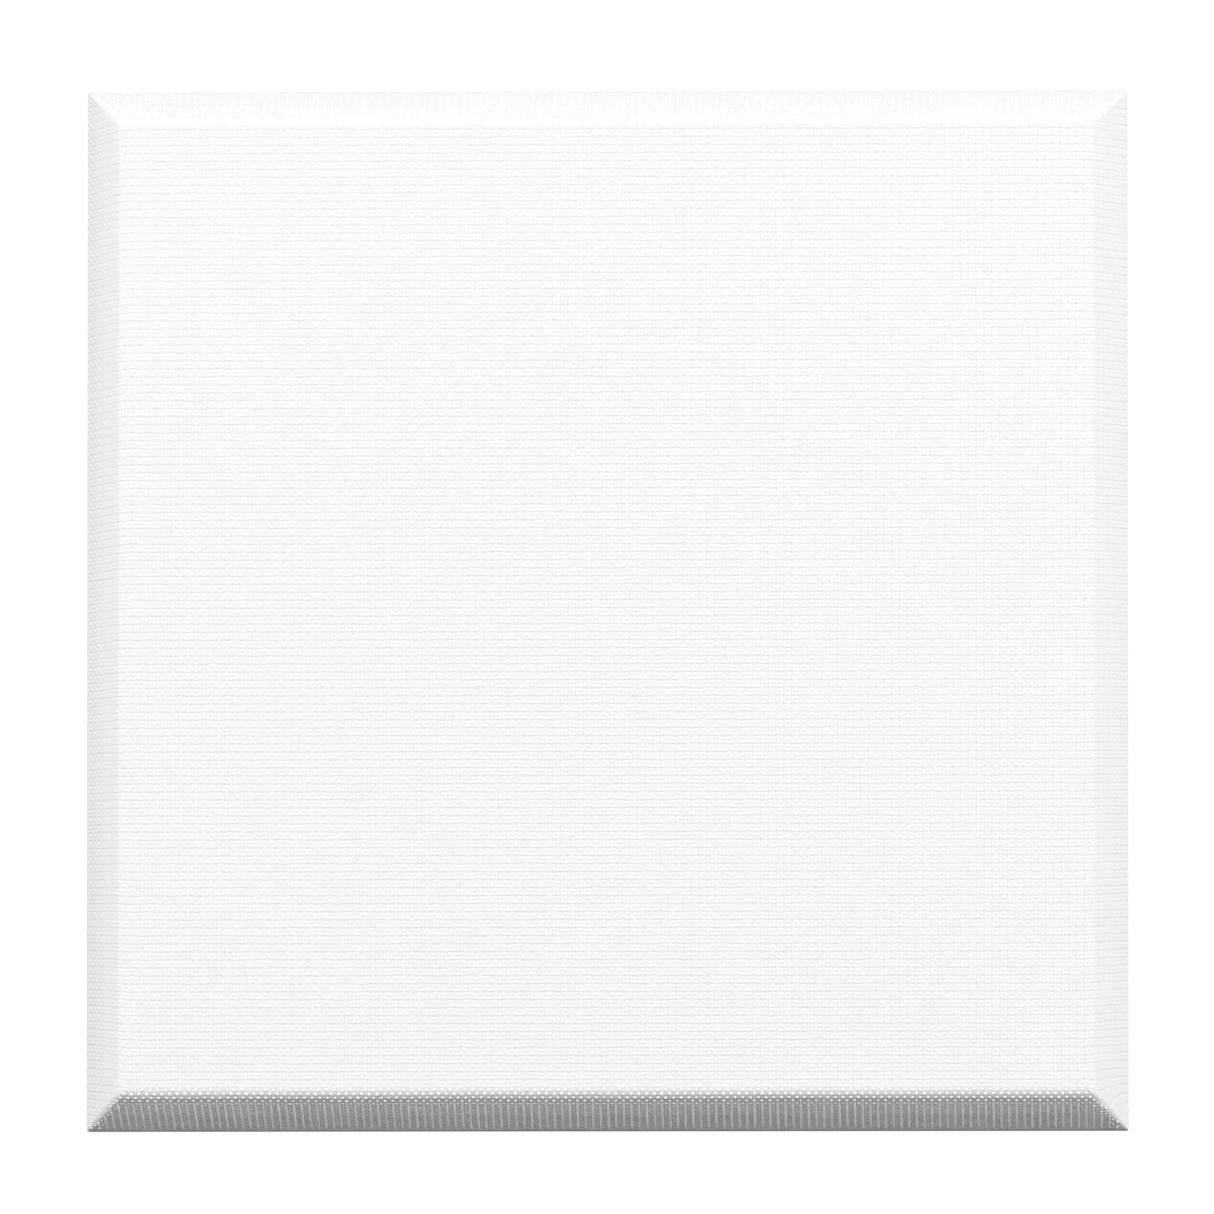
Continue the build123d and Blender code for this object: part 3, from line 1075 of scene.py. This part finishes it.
# %% Give every CAD node its finish
for name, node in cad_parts.items():
    if name == "canvas":
        continue
    upright = "_left" in name or "_right" in name
    if name.startswith("bar_"):
        finish = bar_woods[upright]
    elif name.startswith("key_"):
        finish = wedge_woods[upright]
    else:
        finish = zinc
    node.data.materials.clear()
    node.data.materials.append(finish)
    node.data.polygons.foreach_set("material_index", np.zeros(len(node.data.polygons), np.int32))
print("finished", len(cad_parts) - 1, "CAD nodes")

# %% [markdown]
# ## Joining the cloth to the frame
#
# The cloth and its folded corners stand for the CAD's plain canvas and stay with it when
# the bars are keyed out.

# %% Ride with the canvas, and hide the CAD's plain canvas
for piece in [stretched_cloth, *raised_threads, *corner_folds]:
    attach(piece, "canvas")
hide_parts("canvas")

# %% [markdown]
# ## Floor, light and camera
#
# The panel stands on a pale floor in a dim, even room. Most of the light comes from two
# large soft boxes, one at each side in front, a little above the panel. They reach the face
# and the upright bevels, and light the beads and ribs from their flanks. Little comes from
# below, so the lower bevel is grey and the others are nearly white. A third soft box stands
# behind and shows the back. The camera looks up slightly from below through a long lens,
# and the floor lets it see through from underneath.

# %% The floor
def floor_material():
    """Pale from above and clear from below."""
    material, tree, shader = new_material("pale floor")
    place = tree.nodes.new("ShaderNodeTexCoord")
    cloud = noise(tree, place.outputs["Object"], 3.0, 3.0, 0.5)
    pale = blend_colours(tree, cloud, (0.80, 0.80, 0.80), (0.83, 0.83, 0.83))
    tree.links.new(pale, shader["Base Color"])
    shader["Roughness"].default_value = 0.8
    clear = tree.nodes.new("ShaderNodeBsdfTransparent")
    facing = tree.nodes.new("ShaderNodeNewGeometry")
    choice = tree.nodes.new("ShaderNodeMixShader")
    tree.links.new(facing.outputs["Backfacing"], choice.inputs[0])
    tree.links.new(tree.nodes["Principled BSDF"].outputs[0], choice.inputs[1])
    tree.links.new(clear.outputs[0], choice.inputs[2])
    tree.links.new(choice.outputs[0], tree.nodes["Material Output"].inputs["Surface"])
    return material


floor_half = 4.0
floor_corners = [(x * floor_half, y * floor_half, 0) for x, y in ((-1, -1), (1, -1), (1, 1), (-1, 1))]
floor_mesh = bpy.data.meshes.new("floor")
floor_mesh.from_pydata(floor_corners, [], [(0, 1, 2, 3)])
floor = add_object("floor", floor_mesh)
floor_mesh.materials.append(floor_material())
floor.visible_diffuse = False
floor.visible_shadow = False

# %% The room's light
world = bpy.data.worlds.new("bright room")
world.use_nodes = True
bpy.context.scene.world = world
room = world.node_tree
background = room.nodes["Background"]
direction = room.nodes.new("ShaderNodeTexCoord")
parts = room.nodes.new("ShaderNodeSeparateXYZ")
room.links.new(direction.outputs["Generated"], parts.inputs[0])
upper_light = 0.36
lower_light = 0.17
above = smooth_step(room, parts.outputs[2], -0.1, 0.1)
lit = blend_numbers(room, above, lower_light, upper_light)
path = room.nodes.new("ShaderNodeLightPath")
seen = blend_numbers(room, path.outputs["Is Camera Ray"], lit, 1.0)
room.links.new(seen, background.inputs["Strength"])
background.inputs["Color"].default_value = (1.0, 1.0, 1.0, 1.0)

# %% Soft boxes
box_distance = 3.2
box_size = 1.5


def stand_off(thing, centre, round_angle, up_angle, distance):
    """Stands a lamp or camera off from a centre, at two angles in degrees, and turns it to face there.

    Round the object the angle starts at the front, -Y, and grows to the right. The turn
    points the thing's own -Z along its view, with its Y upwards.
    """
    turn, rise = math.radians(round_angle), math.radians(up_angle)
    away = np.array([math.sin(turn) * math.cos(rise), -math.cos(turn) * math.cos(rise), math.sin(rise)])
    thing.location = centre + away * distance
    thing.rotation_mode = "QUATERNION"
    thing.rotation_quaternion = Vector(-away).to_track_quat("-Z", "Y")


def soft_box(name, round_angle, up_angle, power):
    """A square lamp that faces the panel's middle and isn't seen itself."""
    lamp = bpy.data.lights.new(name, "AREA")
    lamp.shape = "SQUARE"
    lamp.size = box_size
    lamp.energy = power
    holder = add_object(name, lamp)
    stand_off(holder, np.array([0.0, 0.0, middle_height]), round_angle, up_angle, box_distance)
    holder.visible_camera = False


soft_box("soft box right", 55, 16, 81.0)
soft_box("soft box left", -55, 16, 76.0)
soft_box("soft box behind", 180, 25, 60.0)

# %% The camera
look_up = 3.3
look_left = 1.75
camera_distance = 7.0
camera_data = bpy.data.cameras.new("camera")
camera = add_object("camera", camera_data)
panel_share = 0.8575
frame_width = 2 * panel_half / panel_share
camera_data.sensor_width = 36.0
camera_data.lens = camera_data.sensor_width * camera_distance / frame_width
camera_data.clip_start = 0.1
camera_data.clip_end = 60.0
target_point = np.array([0.0, 0.0, middle_height + 0.0009])
stand_off(camera, target_point, look_left, -look_up, camera_distance)
bpy.context.scene.camera = camera
bpy.context.scene.view_settings.view_transform = "Standard"
print("lens", round(camera_data.lens), "mm at", camera_distance, "m")
